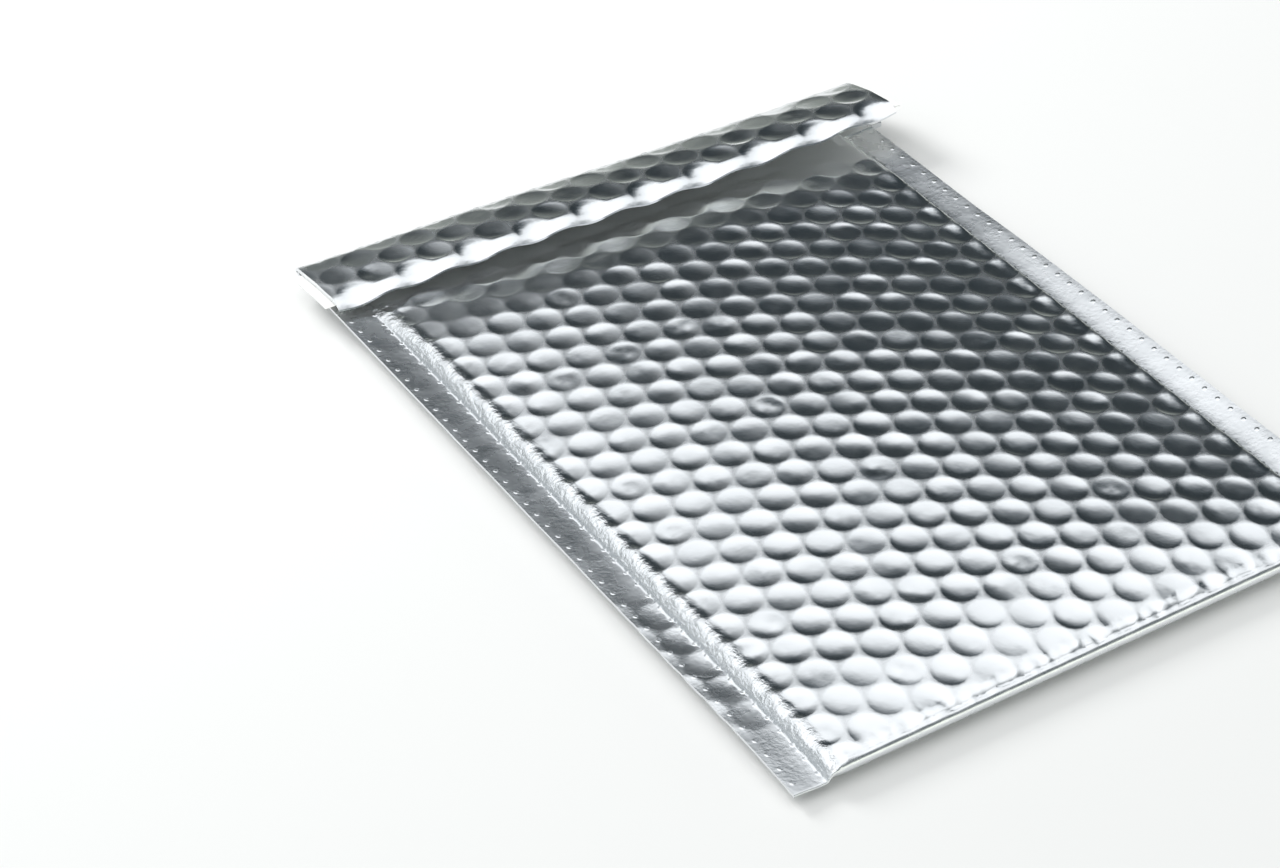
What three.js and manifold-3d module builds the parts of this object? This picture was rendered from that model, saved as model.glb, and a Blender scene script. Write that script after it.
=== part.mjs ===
// A self-seal padded envelope of metallised bubble film, lying on its back with the flap folded over the mouth.
// One bubble-lined sheet is folded at the bottom, welded along both sides and folded once more for the flap.
// Millimetres, +Z up, +Y towards the flap, origin under the middle of the envelope on the surface it lies on.
import * as THREE from "three";
import { mergeVertices } from "three/addons/utils/BufferGeometryUtils.js";
import Module from "manifold-3d";

const wasm = await Module();
wasm.setup();

// Pouch
const POUCH_WIDTH = 180; // over both side seals
const POUCH_LENGTH = 249; // bottom fold to the outside of the flap fold, on the centre line
const SEAL_WIDTH = 9.3; // flat welded margin along each side
const SEAL_THICKNESS = 0.8; // both layers, welded together
const BOTTOM_FOLD_RADIUS = 1.9; // rounded edge where the sheet turns from front to back
const BOTTOM_FOLD_TAPER = 7; // length over which that edge narrows into each seal
const MOUTH_SETBACK = 16; // front panel's top edge, below the flap fold

// Bubble sheet
const FILM = 0.5; // the film between the bubbles
const BUBBLE_PITCH = 10.7; // neighbours, centre to centre
const BUBBLE_HEIGHT = 3.4; // above the film
const BUBBLE_TOP = 6.6; // across the corners of a bubble's flat top
const FIRST_ROW = 11.6; // lowest row of the middle column, above the bottom fold

// Room inside the pouch, on the centre line
const PUFF_BOTTOM = 1.2;
const PUFF_MIDDLE = 4.6;
const PUFF_MOUTH = 1.4;

// Flap
const FLAP_DEPTH = 27.5; // outside of the fold to the free edge
const FLAP_BUBBLE_HEIGHT = 1.4; // bubbles on the flap are pressed flatter
const FLAP_BUBBLE_FOOT = 0.15; // their feet, above the flap's film
const FLAP_FOLLOW = 0.9; // share of the front's crown that the left half of the flap follows down
const FLAP_SKEW = -0.063; // the fold is a little out of square: rise in Y for each millimetre of X

// Closure under the flap
const ADHESIVE_WIDTH = 15;
const ADHESIVE_THICKNESS = 0.4;
const LINER_WIDTH = 22;
const LINER_THICKNESS = 0.3;
const LINER_TAIL = 3; // liner past each end of the flap
const LINER_SETBACK = 2.5; // liner's edge from the flap's free edge
const CLEARANCE = 0.2; // between layers that lie on each other

// Facets
const TOP_SIDES = 6; // corners of a bubble's top, front and flap
const BACK_TOP_SIDES = 3; // corners of a bubble's top on the back
const FOLD_SEGMENTS = 12;
const BEAD_SEGMENTS = 12;
const FLAP_STEPS = 8; // across the flap, which is not quite flat
const ROOM_STEPS_ACROSS = 8;
const ROOM_STEPS_ALONG = 6;
const HEXAGON = 6;
const CELLS_AT_CORNER = 3; // cells that meet at a corner inside the lattice
const OVERCUT = 5; // how far a cutting block reaches past what it cuts
const WELD = 1e-4; // points closer than this are one

// Levels and stations worked out from the sizes above
const columnStep = (BUBBLE_PITCH * Math.sqrt(3)) / 2;
const cellRadius = BUBBLE_PITCH / Math.sqrt(3);
const sealLine = POUCH_WIDTH / 2 - SEAL_WIDTH;
const sideColumns = Math.floor((sealLine - cellRadius) / columnStep);
const roomHalfWidth = sideColumns * columnStep;
const sealLevel = BUBBLE_HEIGHT + FILM;
const skewReach = (Math.abs(FLAP_SKEW) * POUCH_WIDTH) / 2;
const bottomY = -(POUCH_LENGTH + skewReach) / 2;
const foldY = bottomY + POUCH_LENGTH;
const mouthY = foldY - MOUTH_SETBACK;
const flapEdgeY = foldY - FLAP_DEPTH;
const firstRowY = bottomY + FIRST_ROW;

// Height of the room between the two panels, crowned across the width and fullest near mid-length.
function puff(x, y) {
  const across = Math.max(0, 1 - (x / roomHalfWidth) ** 2);
  const t = THREE.MathUtils.clamp((y - firstRowY) / (mouthY - firstRowY), 0, 1);
  const along =
    PUFF_BOTTOM * (1 - t) * (1 - 2 * t) + PUFF_MIDDLE * 4 * t * (1 - t) + PUFF_MOUTH * t * (2 * t - 1);
  return across * along;
}

// The flap lies on the fullest bubbles beside the mouth, over the liner and the adhesive.
const frontFilm = (x, y) => sealLevel + FILM + puff(x, y);
const frontCrest = (x, y) => frontFilm(x, y) + BUBBLE_HEIGHT;
const linerUnder = frontCrest(0, flapEdgeY) + CLEARANCE;
const adhesiveUnder = linerUnder + LINER_THICKNESS + CLEARANCE;
const flapUnder = adhesiveUnder + ADHESIVE_THICKNESS + CLEARANCE;
const foldInnerRadius = (flapUnder - sealLevel) / 2;
const foldCentreY = foldY - foldInnerRadius - FILM;

function toSolid(geometry) {
  const bare = geometry.clone();
  bare.deleteAttribute("normal");
  bare.deleteAttribute("uv");
  const merged = mergeVertices(bare, WELD);
  const vertProperties = new Float32Array(merged.attributes.position.array);
  const triVerts = new Uint32Array(merged.index.array);
  return new wasm.Manifold(new wasm.Mesh({ numProp: 3, vertProperties, triVerts }));
}

function toGeometry(solid) {
  const { vertProperties, triVerts } = solid.getMesh();
  const geometry = new THREE.BufferGeometry();
  geometry.setAttribute("position", new THREE.BufferAttribute(vertProperties, 3));
  geometry.setIndex(new THREE.BufferAttribute(triVerts, 1));
  geometry.computeVertexNormals();
  return geometry;
}

// A box given by its lowest and highest corners.
function block(low, high, steps = 1) {
  const size = new THREE.Vector3().subVectors(high, low);
  const middle = new THREE.Vector3().addVectors(low, high).multiplyScalar(0.5);
  return new THREE.BoxGeometry(size.x, size.y, size.z, steps).translate(middle.x, middle.y, middle.z);
}

// How far the flap sinks at its left half, where the crowned front falls away under it.
function sink(x) {
  return x < 0 ? FLAP_FOLLOW * puff(0, flapEdgeY) * (x / roomHalfWidth) ** 2 : 0;
}

// Lays everything that belongs to the flap: a little out of square with the pouch, and sunk at the left.
function settled(geometry) {
  const shear = new THREE.Matrix4().makeShear(FLAP_SKEW, 0, 0, 0, 0, 0);
  const place = geometry.applyMatrix4(shear).attributes.position;
  for (let n = 0; n < place.count; n += 1) {
    const lift = THREE.MathUtils.clamp((place.getZ(n) - sealLevel) / (linerUnder - sealLevel), 0, 1);
    place.setZ(n, place.getZ(n) - lift * sink(place.getX(n)));
  }
  return geometry;
}

// Columns of bubble cells on a hexagonal lattice; the odd columns start half a pitch lower and hold one cell more.
function latticeCells(lowestY, rows) {
  const cells = [];
  for (let column = -sideColumns; column <= sideColumns; column += 1) {
    const odd = Math.abs(column % 2);
    for (let row = 0; row < rows + odd; row += 1) {
      const x = column * columnStep;
      const y = lowestY + (row - odd / 2) * BUBBLE_PITCH;
      cells.push({ i: 3 * column, j: 2 * row - odd, x, y });
    }
  }
  return cells;
}

// The six corners of a cell as steps on the lattice: half a cell radius across, half a pitch along.
const CORNER_STEPS = [[2, 0], [1, 1], [-1, 1], [-2, 0], [-1, -1], [1, -1]];

// A closed mat of bubbles. Cells share their feet; the feet on the rim lie on the film and go down into it.
function bubbleMat({ lowestY, rows, foot, crest, rim, base, topSides, up }) {
  const cells = latticeCells(lowestY, rows);
  const positions = [];
  const triangles = [];
  const addVertex = (x, y, z) => positions.push(x, y, z) / 3 - 1;
  const addTriangle = (a, b, c) => triangles.push(a, ...(up ? [b, c] : [c, b]));

  const corners = new Map();
  const cornersOf = (cell) => CORNER_STEPS.map(([di, dj]) => `${cell.i + di},${cell.j + dj}`);
  for (const cell of cells) {
    cornersOf(cell).forEach((key, n) => {
      const [di, dj] = CORNER_STEPS[n];
      const place = { x: cell.x + (di * cellRadius) / 2, y: cell.y + (dj * BUBBLE_PITCH) / 2, cells: 0 };
      if (!corners.has(key)) corners.set(key, place);
      corners.get(key).cells += 1;
    });
  }
  for (const corner of corners.values()) {
    const height = corner.cells === CELLS_AT_CORNER ? foot(corner.x, corner.y) : rim;
    corner.above = addVertex(corner.x, corner.y, height);
    corner.below = addVertex(corner.x, corner.y, base);
  }

  const edges = new Map();
  const topOf = (n) => Math.floor((n * topSides) / HEXAGON) % topSides;
  const cornersPerTop = HEXAGON / topSides;
  for (const cell of cells) {
    const keys = cornersOf(cell);
    const ring = keys.map((key) => corners.get(key));
    const top = [];
    for (let n = 0; n < topSides; n += 1) {
      const angle = ((n * cornersPerTop + (cornersPerTop - 1) / 2) * Math.PI) / 3;
      const x = cell.x + (BUBBLE_TOP / 2) * Math.cos(angle);
      const y = cell.y + (BUBBLE_TOP / 2) * Math.sin(angle);
      top.push(addVertex(x, y, crest(cell.x, cell.y)));
    }
    for (let n = 0; n < HEXAGON; n += 1) {
      const next = (n + 1) % HEXAGON;
      addTriangle(ring[n].above, ring[next].above, top[topOf(n)]);
      if (topOf(n) !== topOf(next)) addTriangle(ring[next].above, top[topOf(next)], top[topOf(n)]);
      const shared = `${keys[next]} ${keys[n]}`;
      if (!edges.delete(shared)) edges.set(`${keys[n]} ${keys[next]}`, [ring[n], ring[next]]);
    }
    for (let n = 1; n < topSides - 1; n += 1) addTriangle(top[0], top[n], top[n + 1]);
    for (let n = 1; n < HEXAGON - 1; n += 1) addTriangle(ring[0].below, ring[n + 1].below, ring[n].below);
  }
  for (const [from, to] of edges.values()) {
    addTriangle(from.below, to.below, to.above);
    addTriangle(from.below, to.above, from.above);
  }

  const geometry = new THREE.BufferGeometry();
  geometry.setAttribute("position", new THREE.Float32BufferAttribute(positions, 3));
  geometry.setIndex(triangles);
  return geometry;
}

// The flat film of both layers over the whole outline: what is left of it at the sides is the welded seals.
function seals() {
  const low = new THREE.Vector3(-POUCH_WIDTH / 2, bottomY, sealLevel - SEAL_THICKNESS / 2);
  const high = new THREE.Vector3(POUCH_WIDTH / 2, foldCentreY, sealLevel + SEAL_THICKNESS / 2);
  return block(low, high);
}

// The bottom fold: a rounded edge between the seals that narrows into each of them.
function bottomFold() {
  const half = new THREE.Vector2(SEAL_THICKNESS / 2, sealLine);
  const profile = [
    new THREE.Vector2(0, -half.y),
    new THREE.Vector2(half.x, -half.y),
    new THREE.Vector2(BOTTOM_FOLD_RADIUS, BOTTOM_FOLD_TAPER - half.y),
    new THREE.Vector2(BOTTOM_FOLD_RADIUS, half.y - BOTTOM_FOLD_TAPER),
    new THREE.Vector2(half.x, half.y),
    new THREE.Vector2(0, half.y),
  ];
  const bead = new THREE.LatheGeometry(profile, BEAD_SEGMENTS);
  return bead.rotateZ(-Math.PI / 2).translate(0, bottomY + BOTTOM_FOLD_RADIUS, sealLevel);
}

function frontPanel() {
  const rows = Math.ceil((mouthY - firstRowY) / BUBBLE_PITCH) + 1;
  const rim = sealLevel + SEAL_THICKNESS / 2;
  const base = sealLevel;
  const heights = { foot: frontFilm, crest: frontCrest, rim, base };
  return bubbleMat({ lowestY: firstRowY, rows, ...heights, topSides: TOP_SIDES, up: true });
}

function backPanel() {
  const rows = Math.floor((foldCentreY - firstRowY) / BUBBLE_PITCH);
  const foot = () => sealLevel - FILM;
  const crest = () => 0;
  const rim = sealLevel - SEAL_THICKNESS / 2;
  const base = sealLevel;
  return bubbleMat({ lowestY: firstRowY, rows, foot, crest, rim, base, topSides: BACK_TOP_SIDES, up: false });
}

// The room inside, lofted through lens-shaped sections from the bottom fold out through the mouth.
function room() {
  const positions = [];
  const triangles = [];
  const upper = [];
  const lower = [];
  for (let row = 0; row <= ROOM_STEPS_ALONG; row += 1) {
    const y = THREE.MathUtils.lerp(firstRowY, mouthY + OVERCUT, row / ROOM_STEPS_ALONG);
    upper.push([]);
    lower.push([]);
    for (let step = 0; step <= ROOM_STEPS_ACROSS; step += 1) {
      const x = THREE.MathUtils.lerp(-roomHalfWidth, roomHalfWidth, step / ROOM_STEPS_ACROSS);
      const onEdge = step === 0 || step === ROOM_STEPS_ACROSS;
      const below = positions.push(x, y, sealLevel) / 3 - 1;
      lower[row].push(below);
      upper[row].push(onEdge ? below : positions.push(x, y, sealLevel + puff(x, y)) / 3 - 1);
    }
  }
  const addQuad = (a, b, c, d) => {
    if (a !== b) triangles.push(a, b, c);
    if (c !== d) triangles.push(a, c, d);
  };
  for (let step = 0; step < ROOM_STEPS_ACROSS; step += 1) {
    const next = step + 1;
    for (let row = 0; row < ROOM_STEPS_ALONG; row += 1) {
      const far = row + 1;
      triangles.push(upper[row][step], upper[row][next], upper[far][next]);
      triangles.push(upper[row][step], upper[far][next], upper[far][step]);
      triangles.push(lower[row][step], lower[far][next], lower[row][next]);
      triangles.push(lower[row][step], lower[far][step], lower[far][next]);
    }
    const last = ROOM_STEPS_ALONG;
    addQuad(lower[0][step], lower[0][next], upper[0][next], upper[0][step]);
    addQuad(lower[last][next], lower[last][step], upper[last][step], upper[last][next]);
  }
  const geometry = new THREE.BufferGeometry();
  geometry.setAttribute("position", new THREE.Float32BufferAttribute(positions, 3));
  geometry.setIndex(triangles);
  return geometry;
}

// Beyond the mouth only the back layer goes on, as the flap.
function aboveMouth() {
  const low = new THREE.Vector3(-POUCH_WIDTH / 2 - OVERCUT, mouthY, sealLevel);
  const high = new THREE.Vector3(POUCH_WIDTH / 2 + OVERCUT, foldY + FLAP_DEPTH, flapUnder + OVERCUT);
  return block(low, high);
}

// The flap's film: the back layer rolled over the fold and laid back across the front.
function flapFilm() {
  const lipY = mouthY + FILM;
  const centreZ = sealLevel + foldInnerRadius;
  const section = new THREE.Shape();
  section.moveTo(lipY, sealLevel - FILM);
  section.lineTo(foldCentreY, sealLevel - FILM);
  section.absarc(foldCentreY, centreZ, foldInnerRadius + FILM, -Math.PI / 2, Math.PI / 2, false);
  section.lineTo(flapEdgeY, flapUnder + FILM);
  section.lineTo(flapEdgeY, flapUnder);
  section.lineTo(foldCentreY, flapUnder);
  section.absarc(foldCentreY, centreZ, foldInnerRadius, Math.PI / 2, -Math.PI / 2, true);
  section.lineTo(lipY, sealLevel);
  const settings = {
    depth: POUCH_WIDTH,
    steps: FLAP_STEPS,
    bevelEnabled: false,
    curveSegments: FOLD_SEGMENTS,
  };
  const turned = new THREE.Matrix4().makeBasis(
    new THREE.Vector3(0, 1, 0),
    new THREE.Vector3(0, 0, 1),
    new THREE.Vector3(1, 0, 0),
  );
  const film = new THREE.ExtrudeGeometry(section, settings).applyMatrix4(turned);
  return settled(film.translate(-POUCH_WIDTH / 2, 0, 0));
}

// Bubbles on the outside of the flap, cut through along its free edge.
function flapBubbles() {
  const flapTop = flapUnder + FILM;
  const rows = Math.ceil((foldCentreY - flapEdgeY) / BUBBLE_PITCH);
  const lowestY = foldCentreY - rows * BUBBLE_PITCH;
  const foot = () => flapTop + FLAP_BUBBLE_FOOT;
  const crest = () => flapTop + FLAP_BUBBLE_HEIGHT;
  const rim = flapTop;
  const base = flapUnder + FILM / 2;
  const mat = bubbleMat({ lowestY, rows, foot, crest, rim, base, topSides: TOP_SIDES, up: true });
  const low = new THREE.Vector3(-POUCH_WIDTH / 2, flapEdgeY, flapUnder);
  const high = new THREE.Vector3(POUCH_WIDTH / 2, foldY + OVERCUT, flapTop + FLAP_BUBBLE_HEIGHT + OVERCUT);
  const trimmed = toSolid(mat).intersect(toSolid(block(low, high)));
  return settled(toGeometry(trimmed));
}

function envelope() {
  const welded = toSolid(seals()).add(toSolid(bottomFold()));
  const layers = welded.add(toSolid(frontPanel())).add(toSolid(backPanel()));
  const pouch = layers.subtract(toSolid(aboveMouth())).subtract(toSolid(room()));
  return toGeometry(pouch.add(toSolid(flapFilm())).add(toSolid(flapBubbles())));
}

// A strip under the flap, centred on the adhesive's line.
function flapStrip(length, width, under, thickness) {
  const middleY = flapEdgeY + LINER_SETBACK + LINER_WIDTH / 2;
  const low = new THREE.Vector3(-length / 2, middleY - width / 2, under);
  const high = new THREE.Vector3(length / 2, middleY + width / 2, under + thickness);
  return settled(block(low, high, FLAP_STEPS));
}

const film = new THREE.MeshStandardMaterial({ color: 0xc9ced1, metalness: 1, roughness: 0.28 });
const paper = new THREE.MeshStandardMaterial({ color: 0xf1f0ea, metalness: 0, roughness: 0.5 });
const glue = new THREE.MeshStandardMaterial({ color: 0xd9cfae, metalness: 0, roughness: 0.25 });

const paddedEnvelope = new THREE.Group();

function addPart(name, geometry, material) {
  const part = new THREE.Mesh(geometry, material);
  part.name = name;
  paddedEnvelope.add(part);
}

addPart("envelope", envelope(), film);
const adhesiveLength = POUCH_WIDTH - 2 * SEAL_WIDTH;
const linerLength = POUCH_WIDTH + 2 * LINER_TAIL;
addPart("adhesive_strip", flapStrip(adhesiveLength, ADHESIVE_WIDTH, adhesiveUnder, ADHESIVE_THICKNESS), glue);
addPart("release_liner", flapStrip(linerLength, LINER_WIDTH, linerUnder, LINER_THICKNESS), paper);

export default paddedEnvelope;
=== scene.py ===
# %% [markdown]
# # A silver padded envelope
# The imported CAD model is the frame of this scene: one folded sheet of bubble film, a strip of glue and a
# white liner. CAD gives their true sizes and places. Here each of them gets the soft shape and the finish
# that make it look real: film drawn tight over air bubbles, pressed seals, a loosely rolled flap and a
# paper strip.

# %% Load the frame
import math

import bpy
import numpy as np
from mathutils import Matrix, Vector, noise


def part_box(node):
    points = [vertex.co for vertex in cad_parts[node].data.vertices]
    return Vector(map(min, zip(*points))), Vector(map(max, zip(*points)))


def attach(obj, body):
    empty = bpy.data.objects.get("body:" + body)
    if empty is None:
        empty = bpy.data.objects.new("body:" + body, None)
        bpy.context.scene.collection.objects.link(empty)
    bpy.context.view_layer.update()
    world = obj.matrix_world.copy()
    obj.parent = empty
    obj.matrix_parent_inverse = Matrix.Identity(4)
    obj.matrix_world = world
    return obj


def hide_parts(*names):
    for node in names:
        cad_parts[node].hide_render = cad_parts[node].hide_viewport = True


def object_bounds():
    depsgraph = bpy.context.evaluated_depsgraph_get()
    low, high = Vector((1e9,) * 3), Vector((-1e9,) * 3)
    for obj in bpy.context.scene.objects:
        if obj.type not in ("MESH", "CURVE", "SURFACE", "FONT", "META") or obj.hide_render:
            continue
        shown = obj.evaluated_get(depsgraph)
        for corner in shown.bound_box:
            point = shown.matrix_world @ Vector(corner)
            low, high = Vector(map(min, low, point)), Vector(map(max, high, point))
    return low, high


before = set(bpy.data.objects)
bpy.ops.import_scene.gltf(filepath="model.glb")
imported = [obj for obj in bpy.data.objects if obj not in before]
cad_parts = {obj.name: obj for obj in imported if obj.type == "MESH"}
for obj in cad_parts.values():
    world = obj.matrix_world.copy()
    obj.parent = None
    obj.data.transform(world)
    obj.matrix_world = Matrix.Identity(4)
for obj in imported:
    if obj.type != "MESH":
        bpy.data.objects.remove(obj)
CAD_LOW, CAD_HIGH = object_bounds()
print("CAD box", [round(v, 4) for v in CAD_LOW], [round(v, 4) for v in CAD_HIGH])

# %% [markdown]
# ## The camera
# The bubbles lie on a regular lattice, so the photograph is a ruler in perspective. A camera fitted to it
# stands about 0.9 m away, looks down by 38 degrees and uses a long lens. Its axes are written out,
# because a camera that only points at a target could not repeat the slight roll of the photograph.

# %% Camera
MM = 0.001
SENSOR_MM = 36.0
LENS_MM = 93.11
CAMERA_PLACE = Vector((-0.4045, -0.5890, 0.5404))
CAMERA_RIGHT = Vector((0.8492, -0.5275, -0.0228))
CAMERA_BACK = Vector((-0.4061, -0.6802, 0.6103))

camera_data = bpy.data.cameras.new("photo_camera")
camera_data.sensor_width = SENSOR_MM
camera_data.lens = LENS_MM
camera = bpy.data.objects.new("photo_camera", camera_data)
bpy.context.scene.collection.objects.link(camera)

back_axis = CAMERA_BACK.normalized()
up_axis = back_axis.cross(CAMERA_RIGHT).normalized()
right_axis = up_axis.cross(back_axis)
turn = Matrix((right_axis, up_axis, back_axis)).transposed().to_4x4()
camera.matrix_world = Matrix.Translation(CAMERA_PLACE) @ turn
bpy.context.scene.camera = camera
bpy.context.scene.view_settings.view_transform = "Standard"
print("camera looks down by", round(math.degrees(math.asin(back_axis.z)), 1), "degrees")

# %% [markdown]
# ## Floor and light
# Metallised film has hardly a colour of its own: it shows the room. Lamps would show in it as hard
# patches, so the room itself is painted with soft gradients: bright overhead and at the left, dark at
# half height on the far side, and bright again near the floor behind the camera. The dark part is what
# draws each bubble. One lamp gives the floor its shadow, and it is hidden from mirror rays. The floor is
# pale, and a little glow for camera and mirror rays takes it to white without adding light to the object.


# %% Node helpers
def math_node(tree, operation, first, second=0.0):
    """One Math node; first and second are outputs or fixed numbers."""
    node = tree.nodes.new("ShaderNodeMath")
    node.operation = operation
    for socket, value in zip(node.inputs, (first, second)):
        if isinstance(value, (int, float)):
            socket.default_value = value
        else:
            tree.links.new(value, socket)
    return node.outputs[0]


def ramp_between(tree, source, start, end):
    """A smooth step of a value from 0 at start to 1 at end; start may be above end."""
    step = tree.nodes.new("ShaderNodeMapRange")
    step.interpolation_type = "SMOOTHSTEP"
    step.inputs["From Min"].default_value = start
    step.inputs["From Max"].default_value = end
    tree.links.new(source, step.inputs["Value"])
    return step.outputs["Result"]


# %% Floor
FLOOR_SIZE = 8.0
FLOOR_DROP = 0.3 * MM
FLOOR_COLOUR = (0.80, 0.80, 0.79, 1.0)
FLOOR_GLOW = 0.05

bpy.ops.object.select_all(action="DESELECT")
bpy.ops.mesh.primitive_plane_add(size=FLOOR_SIZE, location=(0, 0, -FLOOR_DROP))
floor = bpy.context.object
floor.name = "floor"
floor_look = bpy.data.materials.new("pale_floor")
floor_look.use_nodes = True
floor_tree = floor_look.node_tree
floor_tree.nodes.clear()
floor_out = floor_tree.nodes.new("ShaderNodeOutputMaterial")
floor_sum = floor_tree.nodes.new("ShaderNodeAddShader")
floor_diffuse = floor_tree.nodes.new("ShaderNodeBsdfDiffuse")
floor_diffuse.inputs["Color"].default_value = FLOOR_COLOUR
floor_glow = floor_tree.nodes.new("ShaderNodeEmission")
rays = floor_tree.nodes.new("ShaderNodeLightPath").outputs
mirror_rays = math_node(floor_tree, "MAXIMUM", rays["Is Glossy Ray"], rays["Is Transmission Ray"])
seen_rays = math_node(floor_tree, "MAXIMUM", rays["Is Camera Ray"], mirror_rays)
glow_level = math_node(floor_tree, "MULTIPLY", seen_rays, FLOOR_GLOW)
floor_tree.links.new(glow_level, floor_glow.inputs["Strength"])
floor_tree.links.new(floor_diffuse.outputs[0], floor_sum.inputs[0])
floor_tree.links.new(floor_glow.outputs[0], floor_sum.inputs[1])
floor_tree.links.new(floor_sum.outputs[0], floor_out.inputs["Surface"])
floor.data.materials.append(floor_look)
print("floor", FLOOR_SIZE, "m wide")

# %% Colours of the room
# Each row is a height, as the upward share of a direction, and the brightness seen there.
ROOM_STOPS = (
    (0.00, (0.42, 0.45, 0.41)),
    (0.08, (0.30, 0.325, 0.30)),
    (0.20, (0.15, 0.165, 0.158)),
    (0.30, (0.036, 0.044, 0.048)),
    (0.55, (0.030, 0.040, 0.046)),
    (0.63, (0.13, 0.15, 0.165)),
    (0.75, (1.08, 1.11, 1.13)),
    (1.00, (1.40, 1.41, 1.42)),
)
LEFT_STOPS = (
    (0.00, (0.28, 0.30, 0.31)),
    (0.18, (0.36, 0.39, 0.40)),
    (0.38, (0.84, 0.88, 0.90)),
    (0.54, (1.15, 1.18, 1.20)),
    (1.00, (1.40, 1.41, 1.42)),
)
# Each edge or top is a pair: where that part of the room starts and where it is full.
LEFT_EDGE = (0.44, -0.15)
CAMERA_SIDE_COLOUR = (0.12, 0.14, 0.15, 1.0)
CAMERA_SIDE_EDGE = (-0.05, -0.35)
CAMERA_SIDE_TOP = (0.88, 0.72)
LOW_GLOW_COLOUR = (1.35, 1.40, 1.26, 1.0)
LOW_GLOW_TOP = (0.42, 0.26)


def height_ramp(tree, source, colours):
    """A colour ramp over a value, with one stop for each row of position and colour."""
    ramp = tree.nodes.new("ShaderNodeValToRGB")
    stops = ramp.color_ramp.elements
    for stop, (position, colour) in zip(stops, (colours[0], colours[-1])):
        stop.position = position
        stop.color = (*colour, 1)
    for position, colour in colours[1:-1]:
        stops.new(position).color = (*colour, 1)
    tree.links.new(source, ramp.inputs["Fac"])
    return ramp.outputs["Color"]


def mix_colours(tree, factor, first, second):
    """A mix of two colour outputs, or of an output and a fixed colour."""
    mix = tree.nodes.new("ShaderNodeMix")
    mix.data_type = "RGBA"
    tree.links.new(factor, mix.inputs["Factor"])
    tree.links.new(first, mix.inputs["A"])
    if isinstance(second, tuple):
        mix.inputs["B"].default_value = second
    else:
        tree.links.new(second, mix.inputs["B"])
    return mix.outputs["Result"]


# %% The room as a soft gradient
room = bpy.data.worlds.new("soft_room")
room.use_nodes = True
room_tree = room.node_tree
room_way = room_tree.nodes.new("ShaderNodeTexCoord")
room_axes = room_tree.nodes.new("ShaderNodeSeparateXYZ")
room_tree.links.new(room_way.outputs["Generated"], room_axes.inputs[0])
rightward, depthward, upward = room_axes.outputs
room_ramp = height_ramp(room_tree, upward, ROOM_STOPS)
left_ramp = height_ramp(room_tree, upward, LEFT_STOPS)
leftness = ramp_between(room_tree, rightward, *LEFT_EDGE)
room_colour = mix_colours(room_tree, leftness, room_ramp, left_ramp)
camera_side = ramp_between(room_tree, depthward, *CAMERA_SIDE_EDGE)
under_top = ramp_between(room_tree, upward, *CAMERA_SIDE_TOP)
camera_side_low = math_node(room_tree, "MULTIPLY", camera_side, under_top)
room_colour = mix_colours(room_tree, camera_side_low, room_colour, CAMERA_SIDE_COLOUR)
near_floor = ramp_between(room_tree, upward, *LOW_GLOW_TOP)
low_glow = math_node(room_tree, "MULTIPLY", camera_side, near_floor)
room_colour = mix_colours(room_tree, low_glow, room_colour, LOW_GLOW_COLOUR)
room_tree.links.new(room_colour, room_tree.nodes["Background"].inputs["Color"])
bpy.context.scene.world = room
print("room painted with", len(room_tree.nodes), "nodes")

# %% The lamp for the shadow
KEY_PLACE = Vector((-0.35, 1.0, 0.62))
KEY_SIZE = 0.45
KEY_RADIANCE = 12.0
WATTS_PER_RADIANCE = 4.0

key_data = bpy.data.lights.new("key_box", "AREA")
key_data.shape = "SQUARE"
key_data.size = KEY_SIZE
key_data.energy = KEY_RADIANCE * KEY_SIZE**2 * WATTS_PER_RADIANCE
key_lamp = bpy.data.objects.new("key_box", key_data)
bpy.context.scene.collection.objects.link(key_lamp)
key_turn = (-KEY_PLACE).to_track_quat("-Z", "Y").to_matrix().to_4x4()
key_lamp.matrix_world = Matrix.Translation(KEY_PLACE) @ key_turn
key_lamp.visible_glossy = False
print("lamp of", round(key_data.energy, 2), "W")

# %% [markdown]
# ## The bubble lattice
# Bubble film is pressed with air cells on a hexagonal lattice: every column is shifted by half a pitch
# against its neighbour. One cell is modelled as a round dish inside a hexagon, then copied with
# two Array modifiers and welded, so the whole mat has the lattice in its own edges.

# %% Sizes of the sheet
film_low, film_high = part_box("envelope")
HALF_WIDTH = film_high[0]
BOTTOM_Y = film_low[1]
POUCH_LENGTH = 249 * MM
MOUTH_SETBACK = 16 * MM
MOUTH_Y = BOTTOM_Y + POUCH_LENGTH - MOUTH_SETBACK
SEAL_WIDTH = 9.3 * MM
SEAL_X = HALF_WIDTH - SEAL_WIDTH
SEAL_Z = 3.9 * MM
SEAL_HALF = 0.4 * MM

PITCH = 10.7 * MM
COLUMN_STEP = PITCH * math.sqrt(3) / 2
FIRST_ROW = 11.6 * MM
FIRST_ROW_Y = BOTTOM_Y + FIRST_ROW
DISH_SHARE = 0.482
DISH_RADIUS = DISH_SHARE * PITCH
print("columns", 2 * int(SEAL_X / COLUMN_STEP) + 1, "rows", int((MOUTH_Y - FIRST_ROW_Y) / PITCH) + 1)

# %% Mesh helpers
WELD = 0.002 * MM


def activate(piece):
    """Makes piece the only selected object and the active one."""
    bpy.ops.object.select_all(action="DESELECT")
    piece.select_set(True)
    bpy.context.view_layer.objects.active = piece


def read_points(piece):
    """The vertices of piece as rows of x, y and z."""
    flat = np.empty(len(piece.data.vertices) * 3)
    piece.data.vertices.foreach_get("co", flat)
    return flat.reshape(-1, 3)


def write_points(piece, points):
    """Moves the vertices of piece to these rows of x, y and z."""
    piece.data.vertices.foreach_set("co", np.asarray(points, dtype=float).ravel())
    piece.data.update()


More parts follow.
